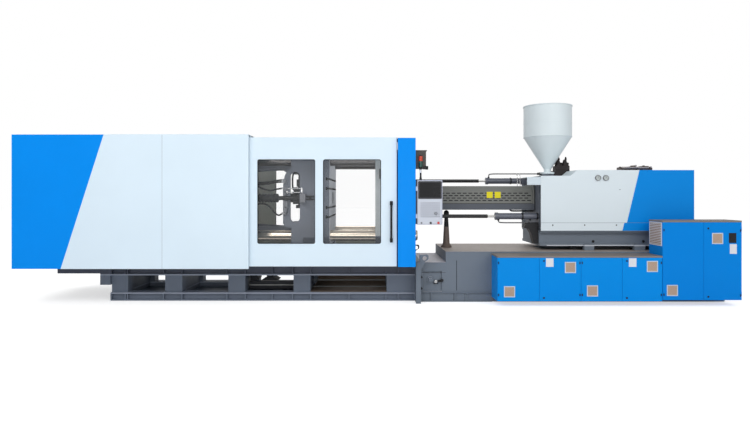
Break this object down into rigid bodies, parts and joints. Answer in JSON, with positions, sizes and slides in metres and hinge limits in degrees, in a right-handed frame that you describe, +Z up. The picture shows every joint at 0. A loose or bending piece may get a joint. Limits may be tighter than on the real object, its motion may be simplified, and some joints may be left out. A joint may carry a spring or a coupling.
{
  "type": "injection moulding machine",
  "caption": "Long horizontal toggle injection moulding machine with sliding guard doors, barrel, hopper and blue electrical cabinets.",
  "frame": {"origin": "on the floor under the middle of the machine's box", "axes": "+X from the clamp unit to the injection unit along the longest extent, -Y is the operator's side, +Z up"},
  "size_m": [10.228, 2.24, 2.98],
  "materials": {
    "base_slate": "satin slate grey paint",
    "dark_iron": "dark slate paint on castings",
    "panel_white": "satin bluish white powder coat",
    "panel_blue": "satin blue powder coat",
    "rear_panel": "satin bluish white powder coat",
    "cabinet_blue": "satin blue powder coat",
    "cabinet_grey": "light grey paint",
    "cover_white": "satin pale paint with a blue end",
    "hopper_white": "satin off-white paint",
    "ground_steel": "ground and lightly oiled",
    "black_steel": "black oxide and paint",
    "frame_grey": "grey paint",
    "cover_mesh": "dark grey perforated sheet",
    "pane": "clear polycarbonate",
    "gauge": "bright bezel",
    "console_grey": "pale grey",
    "screen": "black glass",
    "black_plastic": "black",
    "stop_red": "red",
    "lamp": "red, green and white lenses"
  },
  "bodies": {
    "frame": {"clamp_base": "base_slate", "injection_base": "base_slate", "base_joint_flanges": "base_slate", "base_joint_bolts": "black_steel", "fixed_platen": "dark_iron", "tie_bars": "ground_steel", "tie_bar_nuts": "black_steel", "guard_front_blue": "panel_blue", "guard_front_white": "panel_white", "guard_rear": "rear_panel", "guard_roof": "panel_white", "guard_frame": "frame_grey", "door_rails": "frame_grey", "guard_columns": "panel_blue", "carriage_rails": "ground_steel", "carriage_rods": "ground_steel", "barrel_support": "base_slate", "low_cabinet": "cabinet_grey", "tall_cabinet": "cabinet_grey"},
    "tail": {"tail_platen": "dark_iron", "adjusting_nuts": "black_steel", "clamp_cylinder": "black_steel"},
    "platen": {"moving_platen": "dark_iron", "ejector_cylinder": "black_steel"},
    "crosshead": {"crosshead": "dark_iron", "clamp_rod": "ground_steel"},
    "upper_rear_link": {"upper_rear_links": "dark_iron"},
    "lower_rear_link": {"lower_rear_links": "dark_iron"},
    "upper_front_link": {"upper_front_links": "dark_iron"},
    "lower_front_link": {"lower_front_links": "dark_iron"},
    "ejector": {"ejector_rod": "ground_steel"},
    "front_door": {"front_door": "panel_white", "front_door_panes": "pane", "front_door_handle": "black_steel"},
    "rear_door": {"rear_door": "panel_white", "rear_door_panes": "pane"},
    "carriage": {"carriage_base": "base_slate", "barrel": "ground_steel", "barrel_cover": "cover_mesh", "injection_housing": "dark_iron", "injection_cover": "cover_white", "pressure_gauges": "gauge", "feed_throat": "dark_iron", "hopper": "hopper_white", "carriage_cylinders": "black_steel"},
    "gate": {"hopper_gate": "black_steel"},
    "drive": {"screw_motor": "frame_grey"},
    "screw": {"screw": "ground_steel"},
    "low_door_1": {"low_cabinet_door_1": "cabinet_blue"},
    "low_door_2": {"low_cabinet_door_2": "cabinet_blue"},
    "low_door_3": {"low_cabinet_door_3": "cabinet_blue"},
    "low_door_4": {"low_cabinet_door_4": "cabinet_blue"},
    "tall_door_left": {"tall_cabinet_door_left": "cabinet_blue"},
    "tall_door_right": {"tall_cabinet_door_right": "cabinet_blue"},
    "switch": {"main_switch": "black_plastic"},
    "console": {"panel_case": "console_grey", "panel_screen": "screen", "signal_lamp": "lamp"},
    "knob": {"panel_knob": "black_plastic"},
    "stop": {"stop_button": "stop_red"}
  },
  "joints": [
    {"name": "front_door_slide", "type": "slide", "parent": "frame", "child": "front_door", "axis": [-1, 0, 0], "range_m": [0, 1.9]},
    {"name": "rear_door_slide", "type": "slide", "parent": "frame", "child": "rear_door", "axis": [-1, 0, 0], "range_m": [0, 1.9]},
    {"name": "mould_height_slide", "type": "slide", "parent": "frame", "child": "tail", "axis": [1, 0, 0], "range_m": [-0.07, 0.3]},
    {"name": "platen_slide", "type": "slide", "parent": "tail", "child": "platen", "axis": [1, 0, 0], "range_m": [-0.55, 0]},
    {"name": "crosshead_slide", "type": "slide", "parent": "tail", "child": "crosshead", "axis": [1, 0, 0], "range_m": [-0.275, 0]},
    {"name": "upper_rear_pivot", "type": "hinge", "parent": "tail", "child": "upper_rear_link", "pos_m": [-2.517, 0, 2.022], "axis": [0, 1, 0], "range_deg": [0, 78.6]},
    {"name": "lower_rear_pivot", "type": "hinge", "parent": "tail", "child": "lower_rear_link", "pos_m": [-2.517, 0, 1.022], "axis": [0, 1, 0], "range_deg": [-78.6, 0]},
    {"name": "upper_front_pivot", "type": "hinge", "parent": "platen", "child": "upper_front_link", "pos_m": [-1.47, 0, 2.022], "axis": [0, 1, 0], "range_deg": [-40.1, 0]},
    {"name": "lower_front_pivot", "type": "hinge", "parent": "platen", "child": "lower_front_link", "pos_m": [-1.47, 0, 1.022], "axis": [0, 1, 0], "range_deg": [0, 40.1]},
    {"name": "ejector_slide", "type": "slide", "parent": "platen", "child": "ejector", "axis": [1, 0, 0], "range_m": [0, 0.15]},
    {"name": "carriage_slide", "type": "slide", "parent": "frame", "child": "carriage", "axis": [1, 0, 0], "range_m": [-0.1, 0.3]},
    {"name": "screw_slide", "type": "slide", "parent": "carriage", "child": "drive", "axis": [1, 0, 0], "range_m": [0, 0.36]},
    {"name": "screw_spin", "type": "hinge", "parent": "drive", "child": "screw", "pos_m": [2, 0, 1.522], "axis": [1, 0, 0], "continuous": true},
    {"name": "hopper_gate_slide", "type": "slide", "parent": "carriage", "child": "gate", "axis": [-1, 0, 0], "range_m": [0, 0.1]},
    {"name": "low_door_1_hinge", "type": "hinge", "parent": "frame", "child": "low_door_1", "pos_m": [1.692, -1.116, 0.38], "axis": [0, 0, 1], "range_deg": [-110, 0]},
    {"name": "low_door_2_hinge", "type": "hinge", "parent": "frame", "child": "low_door_2", "pos_m": [2.86, -1.116, 0.38], "axis": [0, 0, 1], "range_deg": [0, 90]},
    {"name": "low_door_3_hinge", "type": "hinge", "parent": "frame", "child": "low_door_3", "pos_m": [2.864, -1.116, 0.38], "axis": [0, 0, 1], "range_deg": [-90, 0]},
    {"name": "low_door_4_hinge", "type": "hinge", "parent": "frame", "child": "low_door_4", "pos_m": [3.999, -1.116, 0.38], "axis": [0, 0, 1], "range_deg": [0, 90]},
    {"name": "tall_door_left_hinge", "type": "hinge", "parent": "frame", "child": "tall_door_left", "pos_m": [4.006, -1.116, 0.64], "axis": [0, 0, 1], "range_deg": [-90, 0]},
    {"name": "tall_door_right_hinge", "type": "hinge", "parent": "frame", "child": "tall_door_right", "pos_m": [5.112, -1.116, 0.64], "axis": [0, 0, 1], "range_deg": [0, 110]},
    {"name": "main_switch_turn", "type": "hinge", "parent": "tall_door_right", "child": "switch", "pos_m": [4.984, -1.118, 0.964], "axis": [0, 1, 0], "range_deg": [0, 90]},
    {"name": "panel_swivel", "type": "hinge", "parent": "frame", "child": "console", "pos_m": [0.557, -1.102, 1.4], "axis": [0, 0, 1], "range_deg": [-70, 0]},
    {"name": "panel_knob_turn", "type": "hinge", "parent": "console", "child": "knob", "pos_m": [0.755, -1.115, 1.175], "axis": [0, 1, 0], "range_deg": [-150, 150]},
    {"name": "stop_button_push", "type": "slide", "parent": "console", "child": "stop", "axis": [0, 1, 0], "range_m": [0, 0.005], "stiffness_N_per_m": 400}
  ],
  "couplings": [
    {"joint": "crosshead_slide", "follows": "platen_slide", "ratio": 0.5},
    {"joint": "upper_rear_pivot", "follows": "platen_slide", "rad_per_m": -2.4926},
    {"joint": "lower_rear_pivot", "follows": "platen_slide", "rad_per_m": 2.4926},
    {"joint": "upper_front_pivot", "follows": "platen_slide", "rad_per_m": 1.2709},
    {"joint": "lower_front_pivot", "follows": "platen_slide", "rad_per_m": -1.2709}
  ]
}
